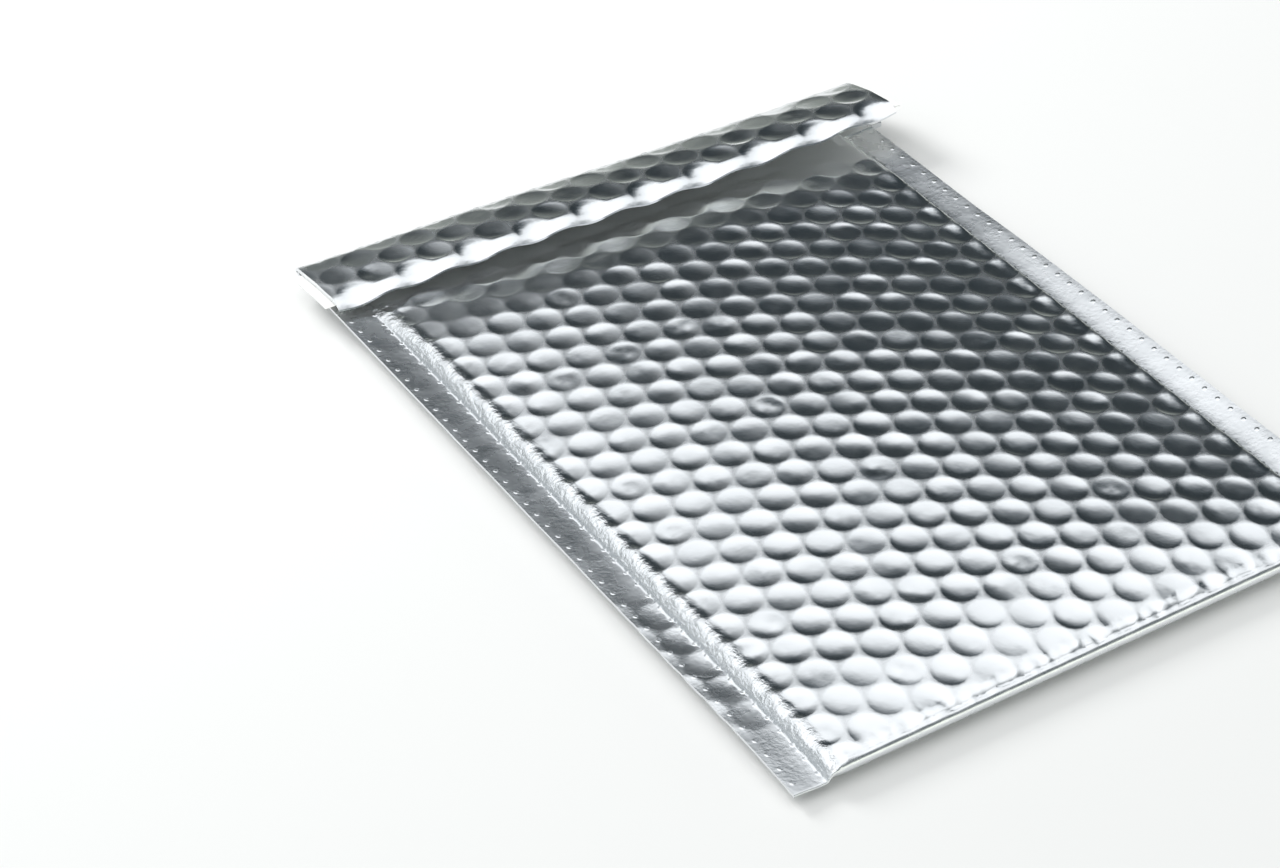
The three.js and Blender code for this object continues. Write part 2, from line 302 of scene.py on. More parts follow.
def paint(piece, name, values):
    """Keeps one number at each vertex, as an attribute that a material can read."""
    layer = piece.data.attributes.new(name, "FLOAT", "POINT")
    layer.data.foreach_set("value", np.asarray(values, dtype=np.float32))


def count_triangles(piece):
    """How many triangles the faces of piece make."""
    return sum(len(face.vertices) - 2 for face in piece.data.polygons)


def apply_modifier(piece, kind, **settings):
    """Adds one modifier with these settings and applies it."""
    modifier = piece.modifiers.new(kind.lower(), kind)
    for setting, value in settings.items():
        setattr(modifier, setting, value)
    bpy.ops.object.modifier_apply(modifier=modifier.name)


def cut_along(place, normal, clear=False):
    """Cuts the mesh in edit mode along a plane, and clears what lies beyond it if asked."""
    bpy.ops.mesh.select_all(action="SELECT")
    bpy.ops.mesh.bisect(plane_co=place, plane_no=normal, clear_outer=clear, threshold=WELD)


# %% One bubble cell
RING_POINTS = 18
DISH_RINGS = (0.4, 0.7, 0.89, 1.0)
SECTOR = math.pi / 3


def bubble_cell(name):
    """A round fan with rings, closed by a ring on the hexagon between neighbouring bubbles."""
    bpy.ops.object.select_all(action="DESELECT")
    bpy.ops.mesh.primitive_circle_add(
        vertices=RING_POINTS,
        radius=DISH_RINGS[0] * DISH_RADIUS,
        fill_type="TRIFAN",
        rotation=(0, 0, math.pi / 2),
    )
    cell = bpy.context.object
    cell.name = name
    bpy.ops.object.transform_apply(location=True, rotation=True, scale=True)
    bpy.ops.object.mode_set(mode="EDIT")
    ring_sizes = DISH_RINGS + (PITCH / math.sqrt(3) / DISH_RADIUS,)
    for inner, outer in zip(ring_sizes, ring_sizes[1:]):
        bpy.ops.mesh.select_all(action="SELECT")
        bpy.ops.mesh.region_to_loop()
        bpy.ops.mesh.extrude_edges_move()
        bpy.ops.transform.resize(value=(outer / inner, outer / inner, 1))
    bpy.ops.object.mode_set(mode="OBJECT")
    points = read_points(cell)
    reach = np.hypot(points[:, 0], points[:, 1])
    rim = reach > reach.max() - WELD
    sector = np.arctan2(points[:, 1], points[:, 0]) % SECTOR - SECTOR / 2
    hexagon = PITCH / 2 / np.cos(sector) / reach.max()
    points[rim, :2] *= hexagon[rim, None]
    write_points(cell, points)
    return cell


# %% A mat of cells
def bubble_mat(name, low, high, first_row):
    """A flat mat of bubble cells from low to high (x, y); an even column has a bubble at first_row."""
    mat = bubble_cell(name)
    bpy.ops.object.mode_set(mode="EDIT")
    bpy.ops.mesh.select_all(action="SELECT")
    bpy.ops.mesh.duplicate_move(TRANSFORM_OT_translate={"value": (COLUMN_STEP, -PITCH / 2, 0)})
    first_pair = math.floor(low[0] / COLUMN_STEP / 2) - 1
    last_pair = math.ceil(high[0] / COLUMN_STEP / 2) + 1
    below = math.floor((low[1] - first_row) / PITCH) - 1
    above = math.ceil((high[1] - first_row) / PITCH) + 1
    bpy.ops.mesh.select_all(action="SELECT")
    bpy.ops.transform.translate(value=(2 * first_pair * COLUMN_STEP, first_row + below * PITCH, 0))
    bpy.ops.object.mode_set(mode="OBJECT")
    for count, step in (
        (last_pair - first_pair + 1, (2 * COLUMN_STEP, 0, 0)),
        (above - below + 1, (0, PITCH, 0)),
    ):
        apply_modifier(
            mat,
            "ARRAY",
            count=count,
            use_relative_offset=False,
            use_constant_offset=True,
            constant_offset_displace=step,
        )
    bpy.ops.object.mode_set(mode="EDIT")
    bpy.ops.mesh.select_all(action="SELECT")
    bpy.ops.mesh.remove_doubles(threshold=WELD)
    cut_along((high[0], 0, 0), (1, 0, 0), clear=True)
    cut_along((low[0], 0, 0), (-1, 0, 0), clear=True)
    cut_along((0, high[1], 0), (0, 1, 0), clear=True)
    cut_along((0, low[1], 0), (0, -1, 0), clear=True)
    bpy.ops.object.mode_set(mode="OBJECT")
    print(name, "mat of", len(mat.data.polygons), "faces")
    return mat


# %% [markdown]
# ## The relief of the film
# The outer film of such a sheet is drawn slightly in over every bubble, so each one is a shallow round
# dish with a narrow web between it and its neighbours. No two are alike: depth, tilt and small buckles
# vary, which is what breaks up the reflections. The variation comes from a seeded table with one row of
# numbers for each bubble, and a few bubbles of the front, chosen by column and row, are slack and dented.

# %% Shared curves
def ripple(x, y, size, layer):
    """Smooth noise between about -1 and 1 with waves of the given size; layer picks another pattern."""
    return np.array([noise.noise(Vector((a, b, layer))) for a, b in zip(x / size, y / size)])


def ease(value, start, end):
    """0 before start, 1 after end and a smooth step between them; start may be above end."""
    share = np.clip((value - start) / (end - start), 0, 1)
    return share * share * (3 - 2 * share)


def level_off(share):
    """Rises steeply from 0 and levels off at 1."""
    return 1 - (1 - np.clip(share, 0, 1)) ** 2


# %% Which bubble a point belongs to
WEB_EDGE = (0.9 * DISH_RADIUS, 1.02 * DISH_RADIUS)


def nearest_bubble(x, y, first_row):
    """Column, row, offsets from the bubble's middle and distance, for the bubble nearest to each point."""
    best = np.full(x.shape, np.inf)
    column = np.zeros(x.shape)
    row = np.zeros(x.shape)
    across = np.zeros(x.shape)
    along = np.zeros(x.shape)
    guess = np.round(x / COLUMN_STEP)
    for shift in (-1, 0, 1):
        near = guess + shift
        half = (near % 2) / 2
        nearest_row = np.round((y - first_row) / PITCH + half)
        dx = x - near * COLUMN_STEP
        dy = y - first_row - (nearest_row - half) * PITCH
        gap = np.hypot(dx, dy)
        closer = gap < best
        best[closer] = gap[closer]
        column[closer] = near[closer]
        row[closer] = nearest_row[closer]
        across[closer] = dx[closer]
        along[closer] = dy[closer]
    return column.astype(int), row.astype(int), across, along, best


def web_between(x, y, first_row):
    """1 on the web between the bubbles and 0 inside each of them."""
    *_, gap = nearest_bubble(x, y, first_row)
    return ease(gap, *WEB_EDGE)


# %% Depth of the dishes
FRONT_SIDE, BACK_SIDE, FLAP_SIDE = range(3)
RELIEF_SEED = 41
TABLE_SIZE = 64
LUCK_NUMBERS = 6
SIDE_SHIFT = (17, 29)
DISH_DEPTH = 0.41 * MM
DISH_POWER = 2.5
LEAST_DEPTH = 0.7
DEPTH_SPREAD = 0.6
TILT_SLOPE = 0.06
BUCKLE_SIZE = 4.5 * MM
BUCKLE_DEPTH = 0.11 * MM
LEAST_BUCKLE = 0.4
SLACK_LUCK = 0.88
SLACK_BUCKLE = 2.2
BUCKLE_LAYER = 0.5
SIDE_LAYERS = 5
DENTED_DEPTH = 0.5
DENTED = {(-2, 10): 5.5, (-4, 14): 3.5, (-6, 14): 3.5, (-7, 4): 3.0, (-8, 12): 3.0, (-5, 1): 3.5}

bubble_luck = np.random.default_rng(RELIEF_SEED).uniform(size=(TABLE_SIZE, TABLE_SIZE, LUCK_NUMBERS))
print("seeded table", bubble_luck.shape, "and", len(DENTED), "dented bubbles")


def dish_relief(x, y, first_row, side):
    """How far the film is drawn in at each point; side keeps front, back and flap apart in the table."""
    column, row, across, along, gap = nearest_bubble(x, y, first_row)
    table_column = (column + SIDE_SHIFT[0] * side) % TABLE_SIZE
    table_row = (row + SIDE_SHIFT[1] * side) % TABLE_SIZE
    luck = bubble_luck[table_column, table_row]
    share = np.clip(gap / DISH_RADIUS, 0, 1)
    bowl = 1 - share**DISH_POWER
    fade = 1 - share**2
    depth = DISH_DEPTH * (LEAST_DEPTH + DEPTH_SPREAD * luck[:, 0])
    tilt = ((luck[:, 1] - 0.5) * across + (luck[:, 2] - 0.5) * along) * TILT_SLOPE * fade
    loose = np.where(luck[:, 3] > SLACK_LUCK, SLACK_BUCKLE, 1.0) * (LEAST_BUCKLE + luck[:, 4])
    for place, slack in DENTED.items():
        hit = (column == place[0]) & (row == place[1]) & (side == FRONT_SIDE)
        loose[hit] = slack
        depth[hit] *= DENTED_DEPTH
    layer = BUCKLE_LAYER + SIDE_LAYERS * side
    buckle = ripple(x, y, BUCKLE_SIZE, layer) * BUCKLE_DEPTH * loose * fade
    return depth * bowl + tilt + buckle


# %% [markdown]
# ## The pouch
# Front and back are one mat with a Solidify modifier, which makes a twin sheet and closes the rim. Then
# the twin sheets are moved apart: flat at the welded sides, a rounded fold along the bottom, a low crown
# in the middle where the empty pouch holds a little air, and a bend down towards the mouth. A cloth
# simulation would blur the lattice, so each point is moved by a formula. Extra cuts give the fold and the
# shoulders beside the seals enough points, and the strip beside the left seal is subdivided for its
# crinkles.

# %% The pouch mat
TWIN_GAP = 1.0 * MM
FOLD_RADIUS = 1.9 * MM
FOLD_STEPS = 6
FOLD_CUTS = (2.4 * MM, 3.0 * MM, 3.7 * MM, 4.5 * MM)
SHOULDER_CUTS = (0.7 * MM, 1.5 * MM, 2.6 * MM)
FINE_STRIP = (-1.0 * MM, 9.0 * MM)

pouch = bubble_mat("pouch", (-HALF_WIDTH, BOTTOM_Y), (HALF_WIDTH, MOUTH_Y), FIRST_ROW_Y)
activate(pouch)
bpy.ops.object.mode_set(mode="EDIT")
for step in range(1, FOLD_STEPS + 1):
    fold_cut = FOLD_RADIUS * (1 - math.cos(step * math.pi / 2 / FOLD_STEPS))
    cut_along((0, BOTTOM_Y + fold_cut, 0), (0, 1, 0))
for fold_cut in FOLD_CUTS:
    cut_along((0, BOTTOM_Y + fold_cut, 0), (0, 1, 0))
for inset in (0,) + SHOULDER_CUTS:
    for end in (-1, 1):
        cut_along((end * (SEAL_X - inset), 0, 0), (1, 0, 0))
bpy.ops.mesh.select_all(action="DESELECT")
bpy.ops.object.mode_set(mode="OBJECT")
for face in pouch.data.polygons:
    face.select = FINE_STRIP[0] < face.center.x + SEAL_X < FINE_STRIP[1]
bpy.ops.object.mode_set(mode="EDIT")
bpy.ops.mesh.subdivide(number_cuts=1)
bpy.ops.object.mode_set(mode="OBJECT")
apply_modifier(pouch, "SOLIDIFY", thickness=TWIN_GAP, offset=-1, use_even_offset=False)
print("pouch mat", len(pouch.data.vertices), "points")

# %% Air in the pouch
ROOM_HALF = 74.1 * MM
PUFF_BOTTOM = 1.2 * MM
PUFF_MIDDLE = 4.6 * MM
PUFF_MOUTH = 1.4 * MM
DIP_RUN = 40 * MM
DIP_BEND = 14 * MM
DIP_SLOPE = 0.19
DIP_SIDE = 0.6


def arch(x):
    """1 in the middle of the width, falling to 0 at the sides of the room."""
    return np.maximum(0, 1 - (x / ROOM_HALF) ** 2)


def crown(x, y):
    """How far air lifts the front: a parabola along it through its lift at the bottom, middle and mouth."""
    t = np.clip((y - FIRST_ROW_Y) / (MOUTH_Y - FIRST_ROW_Y), 0, 1)
    along = PUFF_BOTTOM * (1 - t) * (1 - 2 * t)
    along += PUFF_MIDDLE * 4 * t * (1 - t)
    along += PUFF_MOUTH * t * (2 * t - 1)
    return arch(x) * along


def mouth_dip(x, y):
    """How far the front bends down towards the mouth: a growing slope, then a straight one."""
    run = np.maximum(y - (MOUTH_Y - DIP_RUN), 0)
    bent = np.minimum(run, DIP_BEND)
    slope = DIP_SLOPE * bent / DIP_BEND
    dip = slope * bent / 2 + DIP_SLOPE * (run - bent)
    return dip * (DIP_SIDE + (1 - DIP_SIDE) * arch(x))


# %% Height of one sheet
LEFT_SHOULDER = 4.6 * MM
RIGHT_SHOULDER = 3.6 * MM
FOLD_TAPER = 7.0 * MM
FOLD_RISE = 2.6 * MM
FOLD_SHARE = 0.3
FOLD_SLOPE_RUN = 26 * MM


def half_height(x, y, full):
    """Distance of a sheet from the seal plane, where full is its height away from the edges."""
    width = np.where(x < 0, LEFT_SHOULDER, RIGHT_SHOULDER)
    top = SEAL_HALF + full * level_off((SEAL_X - np.abs(x)) / width)
    taper = ease(np.abs(x), SEAL_X, SEAL_X - FOLD_TAPER)
    radius = SEAL_HALF + (FOLD_RADIUS - SEAL_HALF) * taper
    edge = np.maximum(y - BOTTOM_Y, 0)
    bend = radius * np.sqrt(1 - np.clip(1 - edge / radius, 0, 1) ** 2)
    near = level_off((edge - radius) / FOLD_RISE)
    far = level_off((edge - radius) / FOLD_SLOPE_RUN)
    rise = FOLD_SHARE * near + (1 - FOLD_SHARE) * far
    return bend + np.maximum(top - radius, 0) * rise


# %% Heights of front and back
SHEET_RISE = 3.5 * MM
MOUTH_LIFT = 2.3 * MM
MOUTH_LIFT_RUN = 26 * MM
# Each pair is where a fade starts and where it ends.
ROOM_EDGE = (0.3 * MM, 2.0 * MM)
FOLD_EDGE = (1.4 * MM, 4.0 * MM)
MOUTH_FADE = 0.5
MOUTH_FADE_RUN = (42 * MM, 24 * MM)

points = read_points(pouch)
x = points[:, 0].copy()
y = points[:, 1].copy()
is_front = points[:, 2] > -TWIN_GAP / 2
inside_seal = SEAL_X - np.abs(x)
above_fold = y - BOTTOM_Y
below_mouth = MOUTH_Y - y

room_mask = ease(inside_seal, *ROOM_EDGE) * ease(above_fold, *FOLD_EDGE)
room_mask *= 1 - MOUTH_FADE * ease(below_mouth, *MOUTH_FADE_RUN)
front_dishes = dish_relief(x, y, FIRST_ROW_Y, FRONT_SIDE)
back_dishes = dish_relief(x, y, FIRST_ROW_Y, BACK_SIDE)
front_full = SHEET_RISE + crown(x, y) - mouth_dip(x, y)
front_z = SEAL_Z + half_height(x, y, front_full) - front_dishes * room_mask
mouth_lift = MOUTH_LIFT * ease(below_mouth, MOUTH_LIFT_RUN, 0)
back_z = SEAL_Z - half_height(x, y, SHEET_RISE - mouth_lift) + back_dishes * room_mask
print("front is up to", round(front_z.max() / MM, 2), "mm high")

# %% [markdown]
# ## Marks on the pouch
# The heat of the welding bars pulls the film in. Beside the left seal it gathers into crinkles, half a
# pitch apart. Along the bottom fold it puckers. The welded fins wave and curl, droop at the left bottom
# corner, and one stretch of the left fin still shows the bubbles that were pressed flat there. All of
# them are small heights that are added to the sheets, each inside a mask.

# %% Crinkles and puckers
CRINKLE_START = (-0.2 * MM, 0.8 * MM)
CRINKLE_END = (6 * MM, 3 * MM)
GATHER_DRIFT = 1.5 * MM
GATHER_DRIFT_SIZE = 9 * MM
GATHER_DRIFT_LAYER = 2.7
GATHER_HEIGHT = 0.08 * MM
CRINKLE_SIZE = 4.0 * MM
CRINKLE_LAYER = 3.3
CRINKLE_HEIGHT = 0.12 * MM
PUCKER_START = (0.6 * MM, 2.2 * MM)
PUCKER_END = (9 * MM, 3 * MM)
PUCKER_SIDE = 4 * MM
PUCKER_STRETCH = 3
LONG_PUCKER_SIZE = 2.6 * MM
LONG_PUCKER_LAYER = 21.3
LONG_PUCKER_HEIGHT = 0.30 * MM
ROUND_PUCKER_SIZE = 5 * MM
ROUND_PUCKER_LAYER = 22.9
ROUND_PUCKER_HEIGHT = 0.25 * MM

from_left = x + SEAL_X
crinkle_zone = ease(from_left, *CRINKLE_START) * ease(from_left, *CRINKLE_END)
drift = GATHER_DRIFT * ripple(x, y, GATHER_DRIFT_SIZE, GATHER_DRIFT_LAYER)
gather = np.cos(2 * math.pi * (y - FIRST_ROW_Y + drift) / (PITCH / 2))
crinkle = GATHER_HEIGHT * gather + CRINKLE_HEIGHT * ripple(x, y, CRINKLE_SIZE, CRINKLE_LAYER)
pucker_zone = ease(above_fold, *PUCKER_START) * ease(above_fold, *PUCKER_END)
pucker_zone *= ease(inside_seal, 0, PUCKER_SIDE)
pucker = LONG_PUCKER_HEIGHT * ripple(x, y / PUCKER_STRETCH, LONG_PUCKER_SIZE, LONG_PUCKER_LAYER)
pucker += ROUND_PUCKER_HEIGHT * ripple(x, y, ROUND_PUCKER_SIZE, ROUND_PUCKER_LAYER)
crinkled_points = np.count_nonzero(crinkle_zone)
puckered_points = np.count_nonzero(pucker_zone)
print("crinkled points", crinkled_points, "and puckered points", puckered_points)

# %% Fins beside the pouch
WAVE_SIZE = 30 * MM
WAVE_LAYER = 11.1
WAVE_HEIGHT = 0.5 * MM
WAVE_RUN = 8 * MM
CURL_REACH = 2 * MM
LEFT_CURL = 0.7 * MM
RIGHT_CURL = (0.3 * MM, 1.6 * MM)
RIGHT_CURL_RUN = (20 * MM, 120 * MM)
FIN_DROOP = 1.6 * MM
FIN_DROOP_RUN = 36 * MM
FIN_DROOP_EDGE = 2 * MM
PRESSED_START = (18 * MM, 30 * MM)
PRESSED_END = (90 * MM, 60 * MM)
FAINT_DISHES = 0.06
PRESSED_DISHES = 0.8

wave = WAVE_HEIGHT * ripple(x, y, WAVE_SIZE, WAVE_LAYER) * ease(np.abs(x), SEAL_X - WAVE_RUN, HALF_WIDTH)
fin_out = ease(np.abs(x), SEAL_X, HALF_WIDTH + CURL_REACH)
right_curl = RIGHT_CURL[0] + RIGHT_CURL[1] * ease(below_mouth, *RIGHT_CURL_RUN)
fin_curl = fin_out * np.where(x < 0, LEFT_CURL, right_curl)
droop = FIN_DROOP * np.clip(1 - above_fold / FIN_DROOP_RUN, 0, 1) ** 2
fin_droop = droop * ease(from_left, FIN_DROOP_EDGE, 0)
pressed = ease(above_fold, *PRESSED_START) * ease(above_fold, *PRESSED_END)
fin_mask = (FAINT_DISHES + PRESSED_DISHES * pressed * (x < 0)) * (inside_seal < 0)
fin_shift = wave + fin_curl - fin_droop - front_dishes * fin_mask
print("fins move by", round(fin_shift.min() / MM, 2), "to", round(fin_shift.max() / MM, 2), "mm")

# %% Shape the pouch
WELD_EDGE = (0.4 * MM, -0.4 * MM)
POUCH_SMOOTH = math.radians(55)

front_z += crinkle * crinkle_zone + pucker * pucker_zone
points[:, 2] = np.where(is_front, front_z, back_z) + fin_shift
write_points(pouch, points)
web = web_between(x, y, FIRST_ROW_Y)
paint(pouch, "web", np.maximum(web * room_mask, 1 - room_mask))
paint(pouch, "weld", ease(inside_seal, *WELD_EDGE))
paint(pouch, "crinkle", crinkle_zone * is_front)

activate(pouch)
bpy.ops.object.mode_set(mode="EDIT")
bpy.ops.mesh.select_all(action="SELECT")
bpy.ops.mesh.remove_doubles(threshold=WELD)
bpy.ops.object.mode_set(mode="OBJECT")
bpy.ops.object.shade_smooth_by_angle(angle=POUCH_SMOOTH)
print("pouch", count_triangles(pouch), "triangles")

# %% [markdown]
# ## The flap
# Above the mouth the back sheet goes on, rolls over in a soft bend and lies on the front. It is made as
# its own mat, measured along the film from the free edge, and then laid along that path. The roll is low
# at the left and stands higher at the right, and the free edge curls down in time with the columns of
# bubbles.

# %% Path along the flap
UPPER_RUN = 26.0 * MM
UPPER_TILT = (math.radians(2), math.radians(18))
ROLL_RADIUS = 3.0 * MM
TAIL_RUN = 17.0 * MM
PATH_STEP = 0.05 * MM
ROLL_RUN = ROLL_RADIUS * (math.pi - UPPER_TILT[1])
FLAP_RUN = UPPER_RUN + ROLL_RUN + TAIL_RUN

path_run = np.arange(0, FLAP_RUN + MM, PATH_STEP)
path_tilt = UPPER_TILT[0] + (UPPER_TILT[1] - UPPER_TILT[0]) * np.minimum(path_run / UPPER_RUN, 1)
path_tilt += np.clip((path_run - UPPER_RUN) / ROLL_RADIUS, 0, math.pi - UPPER_TILT[1])
path_y = np.cumsum(np.cos(path_tilt)) * PATH_STEP
path_drop = np.cumsum(np.sin(path_tilt)) * PATH_STEP
print("flap is", round(FLAP_RUN / MM, 1), "mm long along the film")

# %% Place of the flap
FOLD_Y = BOTTOM_Y + POUCH_LENGTH
FOLD_BOW = 0.9 * MM
FLAP_DEPTH = 27.2 * MM
FLAP_SKEW = -0.049
FLAP_TOP = 12.4 * MM
FLAP_FOLLOW = 1.9 * MM
FLAP_END_LIFT = 2.6 * MM
END_LIFT_START = 15 * MM
FLAP_END_REACH = 3.0 * MM
END_REACH_START = 20 * MM
TAIL_Z = 2.45 * MM
TAIL_RISE = 1.6 * MM
TAIL_RISE_POWER = 6
EDGE_CURL = 2.3 * MM
CURL_RUN = 5.4 * MM
CURL_SWING = 0.28
FLAP_SHEET = 1.4 * MM
FLAP_EDGE_SHEET = 0.6 * MM
EDGE_SHEET_RUN = 5 * MM


def flap_path(x, run):
    """Point and outward direction of the flap's outer face, at x across and run from the free edge."""
    wide = np.clip(x, -HALF_WIDTH, HALF_WIDTH)
    top = FLAP_TOP - FLAP_FOLLOW * np.where(wide < 0, (wide / ROOM_HALF) ** 2, 0)
    top += FLAP_END_LIFT * ease(wide, END_LIFT_START, HALF_WIDTH)
    tail = TAIL_Z + TAIL_RISE * (np.abs(wide) / HALF_WIDTH) ** TAIL_RISE_POWER
    fold_y = FOLD_Y + FLAP_SKEW * wide + FOLD_BOW * (1 - (wide / HALF_WIDTH) ** 2)
    edge_y = FOLD_Y - FLAP_DEPTH + FLAP_SKEW * wide
    stretch = (fold_y - edge_y) / path_y.max()
    squeeze = (top - tail) / path_drop[-1]
    tilt = np.interp(run, path_run, path_tilt)
    curl_run = CURL_RUN * (1 - CURL_SWING * np.cos(math.pi * wide / COLUMN_STEP))
    curl = EDGE_CURL * curl_run / CURL_RUN * np.clip(1 - run / curl_run, 0, 1) ** 2
    flap_y = edge_y + stretch * np.interp(run, path_run, path_y)
    flap_z = top - squeeze * np.interp(run, path_run, path_drop) - curl
    lean_y = squeeze * np.sin(tilt)
    lean_z = stretch * np.cos(tilt)
    length = np.hypot(lean_y, lean_z)
    return flap_y, flap_z, lean_y / length, lean_z / length


def flap_sheet(run):
    """Thickness of the flap, thinner at its free edge."""
    return FLAP_EDGE_SHEET + (FLAP_SHEET - FLAP_EDGE_SHEET) * ease(run, 0, EDGE_SHEET_RUN)


def flap_across(x):
    """Place across the flap, whose right end reaches a little past the pouch."""
    return x + FLAP_END_REACH * ease(x, END_REACH_START, HALF_WIDTH)


# %% Build the flap
FLAP_FIRST_ROW = 9.0 * MM
FLAP_CUTS = (0.8 * MM, 1.6 * MM, 2.6 * MM, 3.6 * MM, 4.8 * MM, 6.0 * MM)
END_DISHES = 0.35
END_FADE_RUN = 4 * MM
EDGE_FADE_RUN = (0.8 * MM, 4.0 * MM)
TAIL_FADE = 3 * MM
BEND_FADE = 0.45
BEND_FADE_RUN = (2 * MM, 8 * MM)
LEAST_WALL = 0.2 * MM
FLAP_SMOOTH = math.radians(40)

flap = bubble_mat("flap", (-HALF_WIDTH, 0), (HALF_WIDTH, FLAP_RUN), FLAP_FIRST_ROW)
activate(flap)
bpy.ops.object.mode_set(mode="EDIT")
for edge_cut in FLAP_CUTS:
    cut_along((0, edge_cut, 0), (0, 1, 0))
bpy.ops.object.mode_set(mode="OBJECT")
apply_modifier(flap, "SOLIDIFY", thickness=TWIN_GAP, offset=-1, use_even_offset=False, material_offset=1)
points = read_points(flap)
x = points[:, 0].copy()
run = points[:, 1].copy()
is_outer = points[:, 2] > -TWIN_GAP / 2

end_mask = END_DISHES + (1 - END_DISHES) * ease(HALF_WIDTH - np.abs(x), 0, END_FADE_RUN)
edge_mask = ease(run, *EDGE_FADE_RUN)
tail_mask = ease(run, FLAP_RUN - TAIL_FADE, FLAP_RUN - TAIL_RUN)
bend_mask = 1 - BEND_FADE * ease(run - FLAP_FIRST_ROW, *BEND_FADE_RUN)
inward = dish_relief(x, run, FLAP_FIRST_ROW, FLAP_SIDE) * end_mask * edge_mask * tail_mask * bend_mask
depth = np.where(is_outer, inward, np.maximum(flap_sheet(run), inward + LEAST_WALL))
flap_y, flap_z, lean_y, lean_z = flap_path(x, run)
points[:, 0] = flap_across(x)
points[:, 1] = flap_y - lean_y * depth
points[:, 2] = flap_z - lean_z * depth
write_points(flap, points)
paint(flap, "web", web_between(x, run, FLAP_FIRST_ROW) * edge_mask)
bpy.ops.object.shade_smooth_by_angle(angle=FLAP_SMOOTH)
print("flap", count_triangles(flap), "triangles")

# %% [markdown]
# ## Glue and liner
# Under the flap lies a band of glue, still covered by its white paper. The paper is a little longer than
# the flap is wide, so its ends stick out. Both strips start as a flat grid, get a thickness and follow
# the flap's inner face, so they stay parallel to it however the flap is shaped.

# %% Strips under the flap
STRIP_CUTS_ACROSS = 60
STRIP_CUTS_ALONG = 8
STRIP_THICKNESS = 0.25 * MM
GLUE_SPAN = (5 * MM, 20 * MM)
GLUE_GAP = 0.02 * MM
LINER_SPAN = (2.5 * MM, 24.5 * MM)
LINER_GAP = 0.3 * MM


def strip_under_flap(name, half_length, span, gap):
    """A thin strip under the flap's inner face; span is its start and end along the film."""
    bpy.ops.object.select_all(action="DESELECT")
    bpy.ops.mesh.primitive_grid_add(
        x_subdivisions=STRIP_CUTS_ACROSS,
        y_subdivisions=STRIP_CUTS_ALONG,
        size=2,
    )
    strip = bpy.context.object
    strip.name = name
    apply_modifier(strip, "SOLIDIFY", thickness=1, offset=-1, use_even_offset=False)
    corner = read_points(strip)
    across = corner[:, 0] * half_length
    run = span[0] + (corner[:, 1] + 1) / 2 * (span[1] - span[0])
    upper = corner[:, 2] > -0.5
    strip_y, strip_z, lean_y, lean_z = flap_path(across, run)
    depth = flap_sheet(run) + gap + np.where(upper, 0, STRIP_THICKNESS)
    place = (flap_across(across), strip_y - lean_y * depth, strip_z - lean_z * depth)
    write_points(strip, np.column_stack(place))
    bpy.ops.object.shade_smooth_by_angle(angle=FLAP_SMOOTH)
    return strip


glue = strip_under_flap("glue_band", SEAL_X, GLUE_SPAN, GLUE_GAP)
liner = strip_under_flap("liner_strip", CAD_HIGH[0], LINER_SPAN, LINER_GAP)
print("strips", glue.name, liner.name)

# %% [markdown]
# ## Materials
# The film is a thin metal layer in plastic: fully metallic, satin, with fine wrinkles. The wrinkles are a
# node group, because film, glue, paper and lining all use it with their own values.

# %% Fine wrinkles
BROAD_SHARE = 0.25


def add_node(tree, kind, **inputs):
    """A new node with values set on its named sockets."""
    node = tree.nodes.new(kind)
    for socket, value in inputs.items():
        node.inputs[socket].default_value = value
    return node


def wrinkle_group():
    """Fine uneven wrinkles as a height, and a second broader pattern as a mask."""
    group = bpy.data.node_groups.new("fine_wrinkles", "ShaderNodeTree")
    group.interface.new_socket("Scale", in_out="INPUT", socket_type="NodeSocketFloat")
    group.interface.new_socket("Height", in_out="OUTPUT", socket_type="NodeSocketFloat")
    group.interface.new_socket("Mask", in_out="OUTPUT", socket_type="NodeSocketFloat")
    inlet = group.nodes.new("NodeGroupInput")
    outlet = group.nodes.new("NodeGroupOutput")
    place = group.nodes.new("ShaderNodeTexCoord")
    fine = add_node(group, "ShaderNodeTexNoise", Detail=3.0, Roughness=0.55)
    broad = add_node(group, "ShaderNodeTexNoise", Detail=2.0, Roughness=0.5)
    broad_scale = math_node(group, "MULTIPLY", inlet.outputs["Scale"], BROAD_SHARE)
    group.links.new(place.outputs["Object"], fine.inputs["Vector"])
    group.links.new(place.outputs["Object"], broad.inputs["Vector"])
    group.links.new(inlet.outputs["Scale"], fine.inputs["Scale"])
    group.links.new(broad_scale, broad.inputs["Scale"])
    group.links.new(fine.outputs["Fac"], outlet.inputs["Height"])
    group.links.new(broad.outputs["Fac"], outlet.inputs["Mask"])
    return group


wrinkles = wrinkle_group()
print("node group", wrinkles.name)

# %% A wrinkled finish
NOISE_RANGE = (0.3, 0.7)


def wrinkle_pattern(tree, scale):
    """The wrinkle group in a material; a larger scale gives finer wrinkles."""
    pattern = tree.nodes.new("ShaderNodeGroup")
    pattern.node_tree = wrinkles
    pattern.inputs["Scale"].default_value = scale
    return pattern


